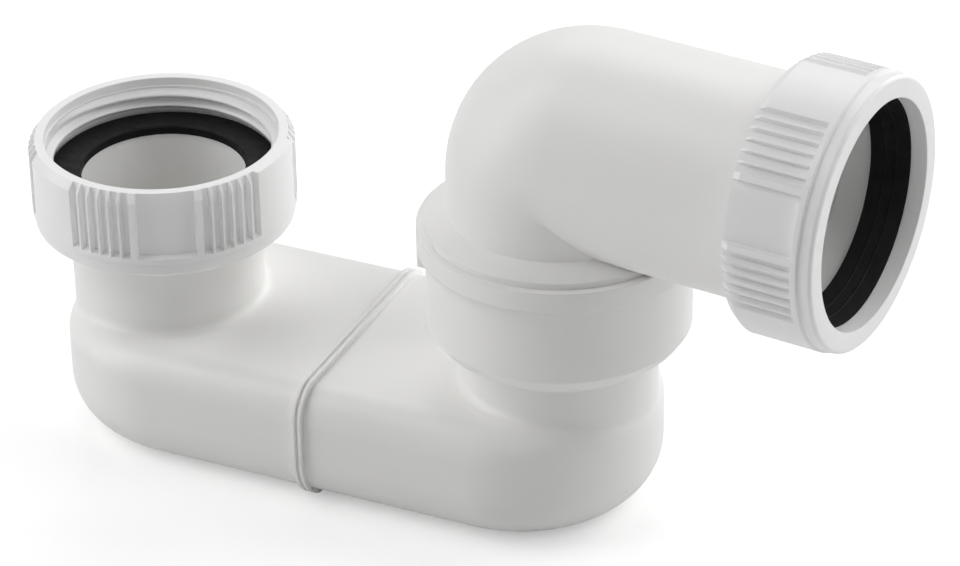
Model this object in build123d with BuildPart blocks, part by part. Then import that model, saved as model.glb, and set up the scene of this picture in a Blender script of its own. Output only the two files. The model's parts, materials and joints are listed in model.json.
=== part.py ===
# Low-level trap for a bath or sink: a flat welded trap body, a union nut on the inlet, and an
# elbow that swivels in the outlet cup and ends in a compression nut. Millimetres, Z up.
# The origin is on the floor under the inlet; X runs along the body towards the outlet.
import os
from math import cos, degrees, radians, sin, tan

from build123d import *

os.makedirs("parts", exist_ok=True)

# Driving sizes of the trap body
wall = 2.6                  # moulded wall of the whole trap
body_height = 26.5          # the flat duct, outside
body_half_width = 29.1
body_top_round = 6.4
body_floor_round = 11.2
neck_radius = 20.0          # both upright necks, outside
neck_fillet = 2.0           # where a neck grows out of the duct
end_overhang = 20.6         # duct beyond each neck's axis
axis_distance = 89.1        # inlet axis to outlet cup axis
weld_shift = 0.4            # weld from the middle of the duct towards the inlet
weld_lip = 1.0              # how far the weld bead stands proud
weld_lip_width = 1.1        # each half's share of the bead
weld_groove = 0.3           # fine groove that is left along the weld

# Driving sizes of the two nuts, which share one design
thread_root = 23.9          # 1 1/2 inch pipe thread, radius at the root
thread_crest = 22.4
mouth_relief = 0.3          # counterbore before and behind the thread, over its root
mouth_relief_depth = 1.8
thread_depth = 7.7          # mouth to the last of the thread, where the seal's face stands
nut_wall = 3.55             # thread root to the nut's outside
nut_length = 18.8
nut_lip = 3.4               # end wall that pulls on the joint
grip_length = 14.6
grip_depth = 1.35
mouth_slope = 1.75          # height over which the grip's tops fall back to the rim
rim_step = 0.15             # rim beyond the grip's floor
band_width = 1.2            # plain full-width band under the grip
foot_step = 0.45            # the nut's end is a little slimmer than the band
foot_round = 0.8
groups = 3                  # plain panel and smooth land, repeated round the nut
panel_angle = 25.5
land_angle = 31.8
grooves_in_group = 6
groove_pitch = 4.89         # degrees
groove_crest_width = 1.85
groove_floor_width = 1.5

# Driving sizes of the inlet
inlet_height = 63.2         # floor to the mouth of the union nut
washer_thickness = 2.0
washer_overhang = 0.35      # washer inside the neck's bore
flange_thickness = 3.2
inlet_panel_angle = -60.4   # a plain panel of the nut looks this way

# Driving sizes of the swivel elbow
swivel_angle = -6.5         # the elbow as it stands, degrees from the body's length
elbow_radius = 22.4
elbow_wall = 2.6
bend_radius = 9.0           # a tight bend: less than the tube's own radius
outlet_rise = 18.9          # outlet axis above the inlet nut's mouth
outlet_reach = 68.2         # cup axis to the face of the compression nut
male_thread = 22.9          # plain core that carries the thread
male_thread_length = 10.4
socket_depth = 9.8          # how deep the waste pipe goes into the elbow
pipe_radius = 21.5          # the 43 mm waste pipe that the outlet takes
outlet_panel_angle = -71.3  # a plain panel of the nut, degrees from straight up

# Driving sizes of the cup, and of the cap that covers it
cup_radius = 26.7
cup_depth = 18.3            # straight wall below the rim
cup_taper = 6.2             # height of the cone from cup to neck
cap_thickness = 2.6
cap_drop = 1.4              # the cap's land below the inlet nut's mouth
cap_overhang = 1.7          # cap beyond the cup
hub_step = 1.3              # raised hub in the middle of the cap
hub_cone = 2.4
skirt_length = 4.4          # cap's edge down over the cup
tongue_length = 4.4         # the skirt reaches lower on the side away from the outlet
tongue_angle = 80.0
tongue_round = 3.0
spigot_length = 15.5        # elbow below the cup's rim
seal_slot_depth = 7.0       # rim to the ring seal
seal_height = 4.0
seal_thickness = 2.2
spigot_wall = 1.95          # behind the ring seal
snap_bead = 0.25            # bead over the cup's bore that keeps the elbow in
snap_bead_height = 2.0
snap_bead_foot = 1.0        # from the spigot's foot to the bead

# Driving sizes of the outlet seal, a cone that the nut presses into the elbow's mouth
outlet_seal_flange = 3.8
outlet_seal_nose = 3.5      # how far the cone reaches into the mouth
outlet_seal_grip = 1.15     # how much smaller than the pipe its lip is
outlet_seal_lip = 1.0

# Named clearances
free_gap = 0.3              # between pieces that never touch
face_gap = 0.1              # between flat faces that are pressed together
seal_gap = 0.15             # between a ring seal and the wall it turns on
turning_gap = 0.4           # radial, a neck or spigot in the piece that turns on it
pipe_gap = 1.2              # radial, waste pipe in the nut's end

# Heights and reaches that follow
body_end = body_half_width - end_overhang
neck_bore = neck_radius - wall
flange_top = inlet_height - thread_depth - washer_thickness
nut_lip_top = inlet_height - nut_length + nut_lip
flange_foot = nut_lip_top + free_gap
flange_radius = thread_crest - free_gap
washer_outer = thread_root - free_gap
washer_inner = neck_bore - washer_overhang
inlet_hole = neck_radius + turning_gap
outlet_height = inlet_height + outlet_rise
cap_land = inlet_height - cap_drop
cap_radius = cup_radius + cap_overhang
cap_under = cap_land - cap_thickness
skirt_foot = cap_land - skirt_length
cup_rim = cap_under - free_gap
cup_bore = cup_radius - wall
cup_foot = cup_rim - cup_depth
spigot_radius = cup_bore - turning_gap
spigot_foot = cup_rim - spigot_length
elbow_bore = elbow_radius - elbow_wall
nut_radius = thread_root + nut_wall
grip_floor = nut_radius - grip_depth
outlet_seal_back = outlet_reach - nut_lip - face_gap
outlet_seal_front = outlet_seal_back - outlet_seal_flange
outlet_mouth = outlet_seal_front - face_gap
thread_start = outlet_mouth - male_thread_length
outlet_hole = pipe_radius + pipe_gap
pipe_socket = pipe_radius + free_gap
seal_outer = cup_bore - seal_gap
seal_inner = seal_outer - seal_thickness
spigot_bore = seal_inner - spigot_wall
skirt_bore = cup_radius + free_gap
outlet_seal_outer = thread_root - free_gap
seal_foot = cup_rim - seal_slot_depth - seal_height
bead_foot = spigot_foot + snap_bead_foot
bead_radius = cup_bore + snap_bead
weld_x = axis_distance / 2 - weld_shift

# Axes and planes: the elbow's own plane stands upright along the outlet
cup_axis = Axis((axis_distance, 0, 0), (0, 0, 1))
outlet_way = Vector(cos(radians(swivel_angle)), sin(radians(swivel_angle)), 0)
side_way = Vector(outlet_way.Y, -outlet_way.X, 0)
outlet_origin = Vector(axis_distance, 0, outlet_height)
outlet_axis = Axis(outlet_origin, outlet_way)
inlet_section = Plane.XZ
cup_section = Plane(origin=(axis_distance, 0, 0), x_dir=(1, 0, 0), z_dir=(0, -1, 0))
outlet_section = Plane(origin=outlet_origin, x_dir=side_way, z_dir=(0, 0, 1))
inlet_mouth_plane = Plane(origin=(0, 0, inlet_height), x_dir=(1, 0, 0), z_dir=(0, 0, 1))
outlet_nut_plane = Plane(
    origin=outlet_origin + outlet_way * (outlet_reach - nut_length),
    x_dir=(0, 0, 1), z_dir=outlet_way * -1,
)


def half_section(plane, points):
    """Closed half-section on the plane, its points given as radius and height."""
    with BuildSketch(plane) as section:
        with BuildLine():
            Polyline(*points, close=True)
        make_face()
    return section.sketch


def duct(height, foot, half_width, top_round, floor_round):
    """Flat duct with round ends, from foot up to height."""
    centres = axis_distance - 2 * body_end
    with BuildPart() as shape:
        with BuildSketch(Plane.XY.offset(foot)):
            with Locations((axis_distance / 2, 0)):
                SlotCenterToCenter(centres, 2 * half_width)
        extrude(amount=height)
        fillet(shape.edges().group_by(Axis.Z)[-1], top_round)
        fillet(shape.edges().group_by(Axis.Z)[0], floor_round)
    return shape.part


def neck_joints(builder, x):
    """Edges where the upright neck at x runs into the top of the duct."""
    found = ShapeList()
    for edge in builder.edges():
        box = edge.bounding_box()
        low = body_height - body_top_round - free_gap
        if box.min.Z < low or box.max.Z > body_height + free_gap:
            continue
        points = [edge.position_at(t) for t in (0.1, 0.5, 0.9)]
        if all(abs((Vector(p.X - x, p.Y)).length - neck_radius) < 0.05 for p in points):
            found.append(edge)
    return found


# The whole trap body before it is parted at the weld
outer_duct = duct(body_height, 0, body_half_width, body_top_round, body_floor_round)
inner_duct = duct(
    body_height - 2 * wall, wall, body_half_width - wall,
    body_top_round - wall, body_floor_round - wall,
)

with BuildPart() as trap_body:
    add(outer_duct)
    mid = body_height / 2
    # inlet neck, with the flange that the union nut pulls on
    neck = half_section(inlet_section, [
        (0, mid), (neck_radius, mid), (neck_radius, flange_foot),
        (flange_radius - 0.8, flange_foot), (flange_radius, flange_top - flange_thickness),
        (flange_radius, flange_top), (0, flange_top),
    ])
    revolve(neck, axis=Axis.Z)
    # outlet neck, opening into the cup that holds the elbow
    cup = half_section(cup_section, [
        (0, mid), (neck_radius, mid), (neck_radius, cup_foot - cup_taper),
        (cup_radius - 1.6, cup_foot - 2.4), (cup_radius, cup_foot),
        (cup_radius, cup_rim), (0, cup_rim),
    ])
    revolve(cup, axis=cup_axis)
    fillet(neck_joints(trap_body, 0), neck_fillet)
    fillet(neck_joints(trap_body, axis_distance), neck_fillet)
    # waterway
    add(inner_duct, mode=Mode.SUBTRACT)
    with BuildSketch(Plane.XY.offset(mid)):
        Circle(neck_bore)
    extrude(amount=flange_top - mid, mode=Mode.SUBTRACT)
    hollow = half_section(cup_section, [
        (0, mid), (neck_bore, mid), (neck_bore, cup_foot - cup_taper + wall / 2),
        (cup_bore, cup_foot + wall / 2), (cup_bore, cup_rim), (0, cup_rim),
    ])
    revolve(hollow, axis=cup_axis, mode=Mode.SUBTRACT)
    # groove that takes the elbow's snap bead
    groove = half_section(cup_section, [
        (cup_bore - turning_gap, bead_foot - turning_gap),
        (bead_radius + turning_gap, bead_foot - turning_gap),
        (bead_radius + turning_gap, bead_foot + snap_bead_height + turning_gap),
        (cup_bore - turning_gap, bead_foot + snap_bead_height + turning_gap),
    ])
    revolve(groove, axis=cup_axis, mode=Mode.SUBTRACT)


def weld_ring(x, proud):
    """Section of the duct's wall at x, standing proud all round but for the flat floor."""
    with BuildSketch(Plane.YZ.offset(x)) as ring:
        with Locations((0, body_height / 2)):
            Rectangle(2 * body_half_width, body_height)
        fillet(ring.vertices().group_by(Axis.Y)[-1], body_top_round)
        fillet(ring.vertices().group_by(Axis.Y)[0], body_floor_round)
        offset(amount=proud)
        with Locations((0, body_height / 2)):
            Rectangle(2 * (body_half_width - wall), body_height - 2 * wall, mode=Mode.SUBTRACT)
        Rectangle(2 * body_half_width, 2 * wall, align=(Align.CENTER, Align.MAX), mode=Mode.SUBTRACT)
    return ring.sketch


def weld_flange(side):
    """One half's share of the bead, on the side given as -1 or +1, stepped at the weld."""
    with BuildPart() as flange:
        extrude(weld_ring(weld_x, weld_lip - weld_groove), amount=side * weld_lip_width)
        shoulder = weld_x + side * weld_groove
        extrude(weld_ring(shoulder, weld_lip), amount=side * (weld_lip_width - weld_groove))
        add(inner_duct, mode=Mode.SUBTRACT)
    return flange.part


with BuildPart() as body_inlet_half:
    add(trap_body.part)
    split(bisect_by=Plane.YZ.offset(weld_x), keep=Keep.BOTTOM)
    add(weld_flange(-1))

with BuildPart() as body_outlet_half:
    add(trap_body.part)
    split(bisect_by=Plane.YZ.offset(weld_x), keep=Keep.TOP)
    add(weld_flange(1))


def grip_ring(mouth, panel_at):
    """Plan of the grip: lands and fine ribs, with a plain panel at panel_at and its repeats."""
    groove_turn = degrees(groove_crest_width / nut_radius)
    land_edge = 180 / groups - land_angle / 2
    turns = [land_edge - groove_turn / 2 - i * groove_pitch for i in range(grooves_in_group)]
    inside = grip_floor - grip_depth / 2
    beyond = 2 * nut_radius
    half_floor = groove_floor_width / 2
    half_crest = groove_crest_width / 2
    half_panel = beyond * tan(radians(panel_angle / 2))
    with BuildSketch(mouth) as ring:
        Circle(nut_radius)
        Circle(inside, mode=Mode.SUBTRACT)
        with PolarLocations(0, groups, panel_at):
            Polygon((0, 0), (beyond, -half_panel), (beyond, half_panel), align=None,
                mode=Mode.SUBTRACT)
        for turn in turns + [-turn for turn in turns]:
            with PolarLocations(0, groups, panel_at + turn):
                Polygon((inside - 1, -half_floor), (grip_floor, -half_floor),
                    (nut_radius, -half_crest), (nut_radius + 1, -half_crest),
                    (nut_radius + 1, half_crest), (nut_radius, half_crest),
                    (grip_floor, half_floor), (inside - 1, half_floor),
                    align=None, mode=Mode.SUBTRACT)
    return ring.sketch


def threaded_nut(mouth, hole, panel_at):
    """Union nut; mouth is the plane of its open end, facing out, and hole is in its far end."""
    section = Plane(origin=mouth.origin, x_dir=mouth.x_dir, z_dir=mouth.y_dir * -1)
    axis = Axis(mouth.origin, mouth.z_dir)
    band_foot = grip_length + band_width
    relief = thread_root + mouth_relief
    foot_radius = nut_radius - foot_step
    with BuildPart() as nut:
        core = half_section(section, [
            (relief, 0), (grip_floor, 0), (grip_floor, foot_step - grip_length),
            (nut_radius, -grip_length), (nut_radius, -band_foot),
            (foot_radius, -band_foot - foot_step / 2), (foot_radius, -nut_length),
            (hole, -nut_length), (hole, nut_lip - nut_length),
            (relief, nut_lip - nut_length), (relief, -thread_depth),
            (thread_root, -thread_depth), (thread_root, -mouth_relief_depth),
            (relief, -mouth_relief_depth),
        ])
        revolve(core, axis=axis)
        foot_edges = nut.edges().filter_by(GeomType.CIRCLE).group_by(axis)[0]
        fillet(foot_edges.sort_by(SortBy.RADIUS)[-1], foot_round)
        extrude(grip_ring(mouth, panel_at), amount=-grip_length)
        # the tops of the ribs and lands slope back to the rim
        rim = grip_floor + rim_step
        rise = nut_radius - rim
        slope = half_section(section, [
            (rim - rise, mouth_slope), (rim + 2 * rise, -2 * mouth_slope),
            (rim + 2 * rise, mouth_slope),
        ])
        revolve(slope, axis=axis, mode=Mode.SUBTRACT)
    return nut


inlet_union_nut = threaded_nut(inlet_mouth_plane, inlet_hole, inlet_panel_angle)
outlet_nut = threaded_nut(outlet_nut_plane, outlet_hole, outlet_panel_angle)

with BuildPart() as inlet_washer:
    with BuildSketch(Plane.XY.offset(flange_top)):
        Circle(washer_outer)
        Circle(washer_inner, mode=Mode.SUBTRACT)
    extrude(amount=washer_thickness)
    chamfer(inlet_washer.edges().group_by(Axis.Z)[-1], washer_thickness / 6)


def bent_bar(radius, foot, end):
    """Round bar that rises from foot on the cup's axis and turns over to end on the outlet."""
    corner = outlet_height - bend_radius
    corner_plane = Plane(origin=(axis_distance, 0, corner), x_dir=outlet_way, z_dir=(0, 0, 1))
    outlet_plane = Plane(outlet_origin + outlet_way * bend_radius, x_dir=side_way, z_dir=outlet_way)
    bend_axis = Axis(corner_plane.origin + outlet_way * bend_radius, side_way * -1)
    with BuildPart() as bar:
        with BuildSketch(corner_plane):
            Circle(radius)
        extrude(amount=foot - corner)
        with BuildSketch(outlet_plane):
            Circle(radius)
        extrude(amount=end - bend_radius)
        # the quarter turn: only what lies outside the bend's centre sweeps round it
        with BuildSketch(corner_plane):
            Circle(radius)
            with Locations((bend_radius, 0)):
                Rectangle(2 * radius, 2 * radius, align=(Align.MIN, Align.CENTER),
                    mode=Mode.SUBTRACT)
        revolve(axis=bend_axis, revolution_arc=90)
    return bar.part


# Tongue of the cap's skirt, on the side away from the outlet
skirt_plane = Plane(origin=(axis_distance, 0, skirt_foot), x_dir=side_way, z_dir=(0, 0, 1))
tongue_view = Plane(origin=skirt_plane.origin, x_dir=side_way, z_dir=outlet_way * -1)
with BuildPart() as tongue:
    with BuildSketch(skirt_plane):
        Circle(cap_radius)
        Circle(skirt_bore, mode=Mode.SUBTRACT)
    extrude(amount=-tongue_length)
    with BuildSketch(tongue_view) as face:
        Rectangle(2 * cap_radius * sin(radians(tongue_angle / 2)), 2 * tongue_length)
        fillet(face.vertices().group_by(Axis.Y)[0], tongue_round)
    extrude(amount=cap_radius, mode=Mode.INTERSECT)

# The elbow is one moulding: tube, threaded end, cap with its skirt, and spigot in the cup
with BuildPart() as swivel_elbow:
    cap_and_spigot = half_section(cup_section, [
        (spigot_bore, spigot_foot), (spigot_radius, spigot_foot), (spigot_radius, bead_foot),
        (bead_radius, bead_foot + snap_bead_height / 3), (bead_radius, bead_foot + snap_bead_height),
        (spigot_radius, bead_foot + snap_bead_height),
        (spigot_radius, seal_foot), (seal_inner, seal_foot),
        (seal_inner, cup_rim - seal_slot_depth + face_gap),
        (spigot_radius, cup_rim - seal_slot_depth + face_gap), (spigot_radius, cap_under),
        (skirt_bore, cap_under), (skirt_bore, skirt_foot), (cap_radius, skirt_foot),
        (cap_radius, cap_land), (cup_radius, cap_land), (cup_radius, cap_land + hub_step),
        (elbow_radius, cap_land + hub_step + hub_cone), (0, cap_land + hub_step + hub_cone),
        (0, cap_under), (spigot_bore, cap_under),
    ])
    revolve(cap_and_spigot, axis=cup_axis)
    add(tongue.part)
    add(bent_bar(elbow_radius, cap_land, thread_start))
    with BuildSketch(Plane(outlet_origin + outlet_way * thread_start, z_dir=outlet_way)):
        Circle(male_thread)
    extrude(amount=male_thread_length)
    add(bent_bar(elbow_bore, cap_under, outlet_mouth), mode=Mode.SUBTRACT)
    with BuildSketch(Plane(outlet_origin + outlet_way * outlet_mouth, z_dir=outlet_way)):
        Circle(pipe_socket)
    extrude(amount=-socket_depth, mode=Mode.SUBTRACT)

# Ring seal between spigot and cup
with BuildPart() as socket_seal:
    ring = half_section(cup_section, [
        (seal_inner, seal_foot), (seal_outer, seal_foot),
        (seal_outer, seal_foot + seal_height), (seal_inner, seal_foot + seal_height),
    ])
    revolve(ring, axis=cup_axis)
    rims = socket_seal.edges().filter_by(GeomType.CIRCLE).sort_by(SortBy.RADIUS)[-2:]
    chamfer(rims, seal_height / 5)

# Cone seal between the waste pipe and the elbow's mouth
with BuildPart() as outlet_seal:
    lip = pipe_radius - outlet_seal_grip
    nose = outlet_seal_front - outlet_seal_nose
    cone = half_section(outlet_section, [
        (outlet_hole - free_gap / 2, outlet_seal_back), (lip, nose), (lip + outlet_seal_lip, nose),
        (pipe_socket - free_gap, outlet_seal_front), (outlet_seal_outer, outlet_seal_front),
        (outlet_seal_outer, outlet_seal_back),
    ])
    revolve(cone, axis=outlet_axis)

pieces = {
    "body_inlet_half": body_inlet_half,
    "body_outlet_half": body_outlet_half,
    "inlet_union_nut": inlet_union_nut,
    "inlet_washer": inlet_washer,
    "swivel_elbow": swivel_elbow,
    "socket_seal": socket_seal,
    "outlet_seal": outlet_seal,
    "outlet_nut": outlet_nut,
}
for name, piece in pieces.items():
    piece.part.label = name
    export_step(piece.part, f"parts/{name}.step")
    print(name, round(piece.part.volume), "mm3")
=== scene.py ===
# %% [markdown]
# A low-level sink trap in white plastic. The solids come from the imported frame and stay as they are.
# This lesson gives them their looks: camera and light of a catalogue photograph, moulded plastic,
# rubber seals, the threads of the nuts and the rings in the seal. Everything is in metres, +Z up.

# %% Load the frame
import bmesh
import bpy
import json
import math
from mathutils import Matrix, Vector


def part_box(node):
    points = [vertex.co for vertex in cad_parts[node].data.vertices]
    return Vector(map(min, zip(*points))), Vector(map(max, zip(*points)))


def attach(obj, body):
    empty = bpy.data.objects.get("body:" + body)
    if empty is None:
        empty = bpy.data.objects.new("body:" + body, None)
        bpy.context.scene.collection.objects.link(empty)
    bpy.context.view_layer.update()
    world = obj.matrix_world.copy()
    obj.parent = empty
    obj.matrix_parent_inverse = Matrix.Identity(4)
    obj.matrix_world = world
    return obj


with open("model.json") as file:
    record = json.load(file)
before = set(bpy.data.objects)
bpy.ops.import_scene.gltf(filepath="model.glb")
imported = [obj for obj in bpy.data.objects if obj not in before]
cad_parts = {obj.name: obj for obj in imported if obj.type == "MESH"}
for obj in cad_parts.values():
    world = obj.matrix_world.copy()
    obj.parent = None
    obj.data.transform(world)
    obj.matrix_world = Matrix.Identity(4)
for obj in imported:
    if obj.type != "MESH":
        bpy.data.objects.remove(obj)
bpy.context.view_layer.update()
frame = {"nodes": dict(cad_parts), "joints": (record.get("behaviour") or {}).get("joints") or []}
nodes = frame["nodes"]
joints = {joint["name"]: joint for joint in frame["joints"]}
scene = bpy.context.scene
mm = 0.001
print("nodes:", sorted(nodes))

# %% [markdown]
# The photograph was taken with a long lens from about three quarters of a metre, so lines that run
# away from the camera hardly converge. A camera is easiest to repeat from what it looks at: a target
# point on the trap, the direction in turns and tilt, and the distance. The small roll is the tilt of
# the horizon in the picture.

# %% Camera
image_width = 960
film_width = 36
focal_pixels = 3880
target = Vector((75.6, -8.6, 49.2)) * mm
azimuth, elevation, roll = (math.radians(a) for a in (24.7, 30.6, -0.9))
distance = 771.5 * mm


def direction(turned, tilted):
    """Unit vector out of the trap, turned from its front and tilted above the floor."""
    return Vector((math.sin(turned) * math.cos(tilted),
        -math.cos(turned) * math.cos(tilted), math.sin(tilted)))


back = direction(azimuth, elevation)
level_right = Vector((math.cos(azimuth), math.sin(azimuth), 0))
level_up = back.cross(level_right)
right = level_right * math.cos(roll) + level_up * math.sin(roll)
up = back.cross(right)

camera_data = bpy.data.cameras.new("camera")
camera_data.sensor_fit = "HORIZONTAL"
camera_data.sensor_width = film_width
camera_data.lens = focal_pixels * film_width / image_width
camera = bpy.data.objects.new("camera", camera_data)
scene.collection.objects.link(camera)
turn = Matrix((right, up, back)).transposed().to_4x4()
camera.matrix_world = Matrix.Translation(target + back * distance) @ turn
bpy.context.scene.camera = camera
print("lens", round(camera_data.lens, 1), "mm")

# %% [markdown]
# A white product on white needs light that models it. In the photograph the flanks and the tops are
# bright and the fronts fall to a soft grey, so most of the light comes from the two sides, high and
# low, with others behind and a weak one in front. Each is a soft box of the same size at the same
# distance, given by its turn from the camera's own direction and its tilt above the floor. That
# makes their strengths easy to compare. The world fills the shadows a little.

# %% Light
scene.view_settings.view_transform = "Standard"
lamp_distance = 1.0
lamp_size = 0.6
high_up, low_down = 48, 15


def soft_box(name, turned, tilt, watts):
    """Square lamp that looks at the trap, turned from the camera's direction and tilted up."""
    away = direction(azimuth + math.radians(turned), math.radians(tilt))
    data = bpy.data.lights.new(name, "AREA")
    data.shape = "SQUARE"
    data.size = lamp_size
    data.energy = watts
    lamp = bpy.data.objects.new(name, data)
    lamp.location = target + away * lamp_distance
    lamp.rotation_euler = away.to_track_quat("Z", "Y").to_euler()
    scene.collection.objects.link(lamp)


soft_box("left_high", -90, high_up, 2.95)
soft_box("left_low", -90, low_down, 2.65)
soft_box("right_high", 90, high_up, 3.2)
soft_box("right_low", 90, low_down, 1.65)
soft_box("right_behind", 135, low_down, 3.25)
soft_box("behind_high", 180, high_up, 2.0)
soft_box("front_high", 0, high_up, 0.8)

# %% [markdown]
# The world has two faces. To the object it is a faint fill. To the camera, in gloss and through
# anything clear it is a bright pale grey, so that gloss reflects a studio and not the dark. The
# floor fills the picture, so the camera itself sees the world only from close to the ground. The
# greatest of the Light Path outputs that are asked for picks which face a ray sees.

# %% World
fill_strength = 0.07
bright_strength = 1.0


def ray_is(tree, *kinds):
    """1 where the ray is any of these kinds, otherwise 0."""
    path = tree.nodes.new("ShaderNodeLightPath")
    found = path.outputs[kinds[0]]
    for kind in kinds[1:]:
        either = tree.nodes.new("ShaderNodeMath")
        either.operation = "MAXIMUM"
        tree.links.new(found, either.inputs[0])
        tree.links.new(path.outputs[kind], either.inputs[1])
        found = either.outputs["Value"]
    return found


def two_faces(tree, kinds, shown, otherwise, surface):
    """Give rays of these kinds the shown shader, and every other ray the other one."""
    choose = tree.nodes.new("ShaderNodeMixShader")
    tree.links.new(ray_is(tree, *kinds), choose.inputs["Fac"])
    tree.links.new(otherwise, choose.inputs[1])
    tree.links.new(shown, choose.inputs[2])
    tree.links.new(choose.outputs["Shader"], surface)


world = bpy.data.worlds.new("studio")
scene.world = world
world.use_nodes = True
tree = world.node_tree
fill = tree.nodes["Background"]
fill.inputs["Color"].default_value = (1, 1, 1, 1)
fill.inputs["Strength"].default_value = fill_strength
bright = tree.nodes.new("ShaderNodeBackground")
bright.inputs["Strength"].default_value = bright_strength
two_faces(tree, ("Is Camera Ray", "Is Glossy Ray", "Is Transmission Ray"),
    bright.outputs["Background"], fill.outputs["Background"],
    tree.nodes["World Output"].inputs["Surface"])
print("world fill", fill_strength)

# %% [markdown]
# The floor is a sheet of white paper. It throws light up under the roundings, which is why the
# undersides of the trap are not dark. The lamps alone leave it a pale grey, so for the camera it
# glows by as much as it lacks to be white. It still takes the trap's shadow.

# %% Floor
floor_half = 1.5
floor_drop = 0.02 * mm
paper_white, paper_roughness, paper_glow = 0.9, 0.9, 0.35


def new_material(name):
    """Material with its node tree and its main shader."""
    material = bpy.data.materials.new(name)
    material.use_nodes = True
    tree = material.node_tree
    return material, tree, tree.nodes["Principled BSDF"]


floor_mesh = bpy.data.meshes.new("floor")
floor_mesh.from_pydata(
    [(x * floor_half, y * floor_half, 0) for x, y in ((-1, -1), (1, -1), (1, 1), (-1, 1))],
    [], [(0, 1, 2, 3)])
floor = bpy.data.objects.new("floor", floor_mesh)
floor.location.z = -floor_drop
scene.collection.objects.link(floor)

paper, tree, sheet = new_material("white_paper")
sheet.inputs["Base Color"].default_value = (paper_white, paper_white, paper_white, 1)
sheet.inputs["Roughness"].default_value = paper_roughness
glow = tree.nodes.new("ShaderNodeEmission")
glow.inputs["Strength"].default_value = paper_glow
glowing = tree.nodes.new("ShaderNodeAddShader")
tree.links.new(sheet.outputs["BSDF"], glowing.inputs[0])
tree.links.new(glow.outputs["Emission"], glowing.inputs[1])
two_faces(tree, ("Is Camera Ray",), glowing.outputs["Shader"], sheet.outputs["BSDF"],
    tree.nodes["Material Output"].inputs["Surface"])
floor_mesh.materials.append(paper)
print("floor", 2 * floor_half, "m wide")

# %% [markdown]
# A flat colour looks like paint, so nothing here is left flat. A noise gives a pattern that sticks to
# the object, a ramp turns it into two shades, and a bump turns it into relief. The Bevel node in the
# bump bends the normals near an edge. An edge that is sharp in the solid then still catches a line
# of light, as a moulded edge does, and the shape is left alone.

# %% Patterns
ramp_start, ramp_end = 0.3, 0.7
bevel_samples = 6


def grey(value):
    """Neutral colour of this value."""
    return (value, value, value)


def noise(tree, scale, detail=3.0):
    """Noise in object space, so that it sticks to the moulding."""
    place = tree.nodes.new("ShaderNodeTexCoord")
    texture = tree.nodes.new("ShaderNodeTexNoise")
    texture.inputs["Scale"].default_value = scale
    texture.inputs["Detail"].default_value = detail
    tree.links.new(place.outputs["Object"], texture.inputs["Vector"])
    return texture.outputs["Fac"]


def ramp(tree, pattern, low, high):
    """Map a 0 to 1 pattern onto colours or greys from low to high."""
    node = tree.nodes.new("ShaderNodeValToRGB")
    first, last = node.color_ramp.elements
    first.position, last.position = ramp_start, ramp_end
    first.color = (*low, 1)
    last.color = (*high, 1)
    tree.links.new(pattern, node.inputs["Fac"])
    return node.outputs["Color"]


def bump(tree, height, strength, distance_mm, edge_mm=0.0):
    """Relief from a height pattern, over edges that catch the light as if rounded by edge_mm."""
    node = tree.nodes.new("ShaderNodeBump")
    node.inputs["Strength"].default_value = strength
    node.inputs["Distance"].default_value = distance_mm * mm
    tree.links.new(height, node.inputs["Height"])
    if edge_mm:
        rounding = tree.nodes.new("ShaderNodeBevel")
        rounding.samples = bevel_samples
        rounding.inputs["Radius"].default_value = edge_mm * mm
        tree.links.new(rounding.outputs["Normal"], node.inputs["Normal"])
    return node.outputs["Normal"]


print("patterns: noise, ramp and bump")

# %% [markdown]
# The trap is injection-moulded polypropylene: an opaque white with a soft sheen, slightly warm, into
# which light sinks a little before it comes back. The base colour drifts by a hair over centimetres,
# the roughness varies over millimetres, and a fine grain from the mould's steel breaks the
# highlights. Subsurface scattering softens the edges of shadows, and the white is a high one, so
# that light thrown from wall to wall still reaches into the bores. The nuts come from another mould:
# they are a neutral white, glossier, and crisper at their edges.

# %% Moulded plastic
drift_scale, sheen_scale, grain_scale = 40, 300, 3500
grain_detail, grain_depth_mm = 2.0, 0.02
plastic_ior = 1.49
sunk_share, sunk_colours, sunk_depth = 0.25, (1.0, 0.96, 0.92), 2.0 * mm


def moulded_plastic(name, shade, drift, roughness, grain, edge_mm):
    """White plastic with drifting colour, patchy sheen and the mould's fine grain."""
    material, tree, shader = new_material(name)
    darker = tuple(c * (1 - drift) for c in shade)
    colour = ramp(tree, noise(tree, drift_scale), darker, shade)
    tree.links.new(colour, shader.inputs["Base Color"])
    low, high = roughness
    sheen = ramp(tree, noise(tree, sheen_scale), grey(low), grey(high))
    tree.links.new(sheen, shader.inputs["Roughness"])
    relief = bump(tree, noise(tree, grain_scale, grain_detail), grain, grain_depth_mm, edge_mm)
    tree.links.new(relief, shader.inputs["Normal"])
    shader.inputs["IOR"].default_value = plastic_ior
    shader.inputs["Subsurface Weight"].default_value = sunk_share
    shader.inputs["Subsurface Radius"].default_value = sunk_colours
    shader.inputs["Subsurface Scale"].default_value = sunk_depth
    return material


trap_plastic = moulded_plastic("trap_plastic", shade=(0.92, 0.915, 0.9), drift=0.015,
    roughness=(0.36, 0.44), grain=0.12, edge_mm=0.35)
nut_plastic = moulded_plastic("nut_plastic", shade=grey(0.92), drift=0.01,
    roughness=(0.28, 0.36), grain=0.08, edge_mm=0.22)
print("plastics:", trap_plastic.name, nut_plastic.name)

# %% [markdown]
# The seals are black rubber. It is nearly matt, but a real seal has a faint bloom of grey where it
# has been handled, and its moulded surface is slightly pitted, so the highlight is broad and uneven.

# %% Seal rubber
bloom_scale, bloom_detail = 220, 5.0
clean_black, bloomed_black = (0.004, 0.004, 0.0045), (0.008, 0.008, 0.009)
patch_scale, smooth_patch, rough_patch = 600, 0.5, 0.66
pit_scale, pit_strength, pit_depth_mm = 2500, 0.35, 0.05
rubber_gloss = 0.12

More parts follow.
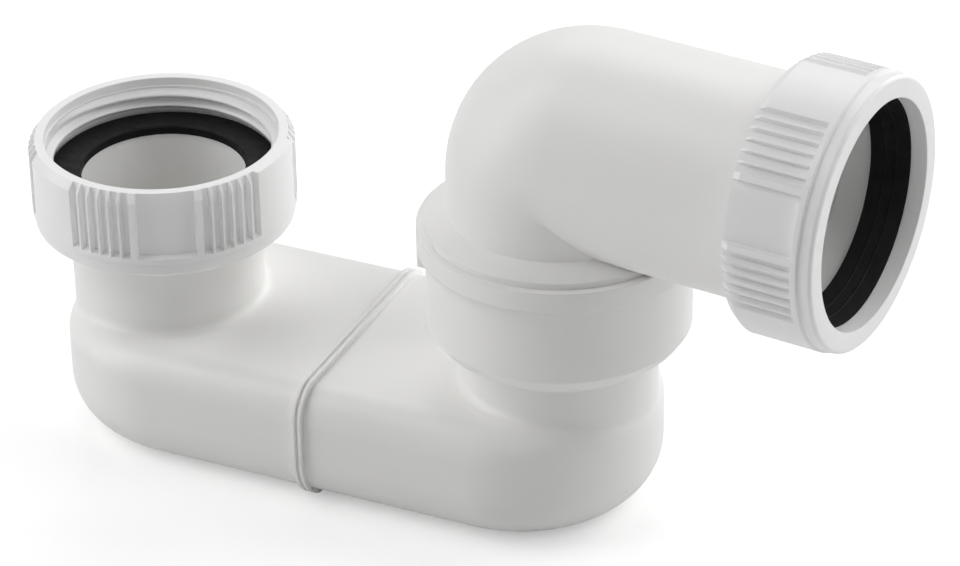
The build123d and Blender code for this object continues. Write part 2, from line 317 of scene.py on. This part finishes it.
seal_rubber, tree, shader = new_material("seal_rubber")
bloom = ramp(tree, noise(tree, bloom_scale, bloom_detail), clean_black, bloomed_black)
tree.links.new(bloom, shader.inputs["Base Color"])
patches = ramp(tree, noise(tree, patch_scale), grey(smooth_patch), grey(rough_patch))
tree.links.new(patches, shader.inputs["Roughness"])
shader.inputs["Specular IOR Level"].default_value = rubber_gloss
pits = bump(tree, noise(tree, pit_scale), pit_strength, pit_depth_mm)
tree.links.new(pits, shader.inputs["Normal"])
print("rubber:", seal_rubber.name)

# %% [markdown]
# Each solid keeps the mesh that it comes with, which is smooth but for the edges that are sharp on
# the moulding. Only its finish is set here.

# %% Dress the solids
finishes = {
    "body_inlet_half": trap_plastic,
    "body_outlet_half": trap_plastic,
    "swivel_elbow": trap_plastic,
    "inlet_union_nut": nut_plastic,
    "outlet_nut": nut_plastic,
    "inlet_washer": seal_rubber,
    "socket_seal": seal_rubber,
    "outlet_seal": seal_rubber,
}
for name, finish in finishes.items():
    solid = nodes[name]
    solid.data.materials.clear()
    solid.data.materials.append(finish)
    print(name, len(solid.data.polygons), "faces")

# %% [markdown]
# What the solids lack are ridges: the threads and the rings in the seal. Each is a small section
# that is carried round a wall, and its copies are joined into a skin. A curve with a bevel could
# carry a fixed section, but a thread fades out at its ends, so the mesh is built ring by ring. The
# section is one wave of a cosine, and its foot stays in the wall, so that no gap shows.

# %% Ridges
half_wave_steps = 4
sink = 0.04 * mm
root_depth = 0.35 * mm
wave = [(t / half_wave_steps, (1 + math.cos(math.pi * t / half_wave_steps)) / 2)
    for t in range(-half_wave_steps, half_wave_steps + 1)]


def join_rings(mesh, near, far):
    """Faces from each point of one ring to the same point of the next."""
    for j in range(len(near)):
        k = (j + 1) % len(near)
        mesh.faces.new((near[j], near[k], far[k], far[j]))


def smooth_piece(name, mesh, finish):
    """Object with this finish from a mesh that is complete."""
    bmesh.ops.recalc_face_normals(mesh, faces=mesh.faces)
    for face in mesh.faces:
        face.smooth = True
    data = bpy.data.meshes.new(name)
    mesh.to_mesh(data)
    mesh.free()
    data.materials.append(finish)
    piece = bpy.data.objects.new(name, data)
    scene.collection.objects.link(piece)
    print(name, len(data.polygons), "faces")
    return piece


print("ridge section:", len(wave), "points and a foot")

# %% [markdown]
# The nuts carry a rounded 55 degree pipe thread, 11 turns to the inch and right-hand. A tap or a
# turning core cuts such a thread, and its ridge follows a helix. In the solids the wall stands at
# the thread's root, so the ridge is laid on it here. One wave of a cosine, at most a pitch wide and
# as deep as the thread, has flanks close to 27.5 degrees, which is why it serves as the profile.
# Each ridge rises out of the wall and sinks back into it over part of a turn, as on the moulding.

# %% Thread in the inlet nut
inch_mm, turns_per_inch = 25.4, 11
pitch = inch_mm / turns_per_inch * mm
flank = math.radians(27.5)
steps_per_turn = 96
fade_turns = 0.18


def ridge_half_width(depth):
    """Half the width of a cosine ridge whose flanks stand at the thread's angle."""
    return min(pitch / 2, depth * math.pi / 2 * math.tan(flank))


def thread_ridge(name, start, way, across, wall_radius, depth, length, inwards, finish, body):
    """Right-hand helical ridge on a round wall, from start along way. Across is where it begins."""
    side = way.cross(across)
    grow = -1 if inwards else 1
    half_width = ridge_half_width(depth)
    turns = (length - 2 * half_width) / pitch
    count = round(turns * steps_per_turn)
    mesh = bmesh.new()
    rings = []
    for i in range(count + 1):
        turned = turns * i / count
        fade = max(0.0, min(1.0, turned / fade_turns, (turns - turned) / fade_turns))
        fade *= fade * (3 - 2 * fade)  # so that it starts and stops gently
        angle = 2 * math.pi * turned
        out = across * math.cos(angle) + side * math.sin(angle)
        middle = start + way * (half_width + pitch * turned)
        section = [(t, (depth + sink) * fade * rise - sink) for t, rise in wave]
        section += [(1.0, -root_depth), (-1.0, -root_depth)]
        rings.append([
            mesh.verts.new(middle + way * (half_width * t) + out * (wall_radius + grow * height))
            for t, height in section])
    for near, far in zip(rings, rings[1:]):
        join_rings(mesh, near, far)
    mesh.faces.new(rings[0])
    mesh.faces.new(rings[-1])
    piece = smooth_piece(name, mesh, finish)
    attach(piece, body)
    print(name, round(turns, 2), "turns")


thread_root, mouth_relief, thread_end = 23.9 * mm, 1.8 * mm, 7.7 * mm
threaded = thread_end - mouth_relief
inlet_thread_depth = 1.45 * mm
upright, lengthwise = Vector((0, 0, 1)), Vector((1, 0, 0))
inlet_mouth = Vector((0, 0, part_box("inlet_union_nut")[1].z))
thread_ridge("inlet_nut_thread", inlet_mouth - upright * thread_end, upright, lengthwise,
    thread_root, inlet_thread_depth, threaded, True, nut_plastic, "inlet_nut")

# %% [markdown]
# The outlet nut's thread stands half a pitch from the elbow's own, so that the two run in each
# other's hollows without touching, and still do when the nut is turned, because its travel follows
# the same pitch. The elbow's thread shows only when the nut is screwed off.

# %% Outlet threads
outlet_joint = joints["outlet_nut_turn"]
outlet_way = Vector(outlet_joint["axis"]).normalized()
cup_axis_point = Vector(joints["elbow_swivel"]["pos_m"])
outlet_origin = Vector(outlet_joint["pos_m"])
outlet_origin -= outlet_way * (outlet_origin - cup_axis_point).dot(outlet_way)

nut_mouth, core_end, core_radius = 49.4 * mm, 60.8 * mm, 22.9 * mm
nut_depth, core_depth = 0.9 * mm, 0.7 * mm
nut_start = nut_mouth + mouth_relief
core_start = nut_start + ridge_half_width(nut_depth) + pitch / 2 - ridge_half_width(core_depth)
thread_ridge("outlet_nut_thread", outlet_origin + outlet_way * nut_start, outlet_way, upright,
    thread_root, nut_depth, threaded, True, nut_plastic, "compression_nut")
thread_ridge("elbow_thread", outlet_origin + outlet_way * core_start, outlet_way, upright,
    core_radius, core_depth, core_end - core_start, False, trap_plastic, "elbow")

# %% [markdown]
# The cone seal's bore is not plain. Two low rings are moulded round it to grip the waste pipe, and in
# the photograph they catch the light as thin streaks in the black. Each is the same cosine ridge,
# closed in a circle on the wall of the cone.

# %% Seal rings
seal_nose, seal_back = 57.4 * mm, 64.7 * mm
nose_radius, back_radius = 20.35 * mm, 22.55 * mm
cone_run, cone_rise = seal_back - seal_nose, back_radius - nose_radius
ring_places = (60.1 * mm, 62.1 * mm)
ring_height, ring_half_width = 0.15 * mm, 0.3 * mm
steps_round = 144


def cone_wall(along):
    """Radius of the seal's bore at this place along the outlet."""
    return nose_radius + cone_rise * (along - seal_nose) / cone_run


outlet_side = outlet_way.cross(upright)
mesh = bmesh.new()
for middle in ring_places:
    section = []
    for t, rise in wave:
        along = middle + ring_half_width * t
        section.append((along, cone_wall(along) - ((ring_height + sink) * rise - sink)))
    foot = cone_wall(middle) + root_depth
    section += [(middle + ring_half_width, foot), (middle - ring_half_width, foot)]
    rings = []
    for step in range(steps_round):
        angle = 2 * math.pi * step / steps_round
        out = upright * math.cos(angle) + outlet_side * math.sin(angle)
        rings.append([
            mesh.verts.new(outlet_origin + outlet_way * along + out * radius)
            for along, radius in section])
    for near, far in zip(rings, rings[1:] + rings[:1]):
        join_rings(mesh, near, far)
seal_rings = smooth_piece("seal_rings", mesh, seal_rubber)
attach(seal_rings, "cone_seal")
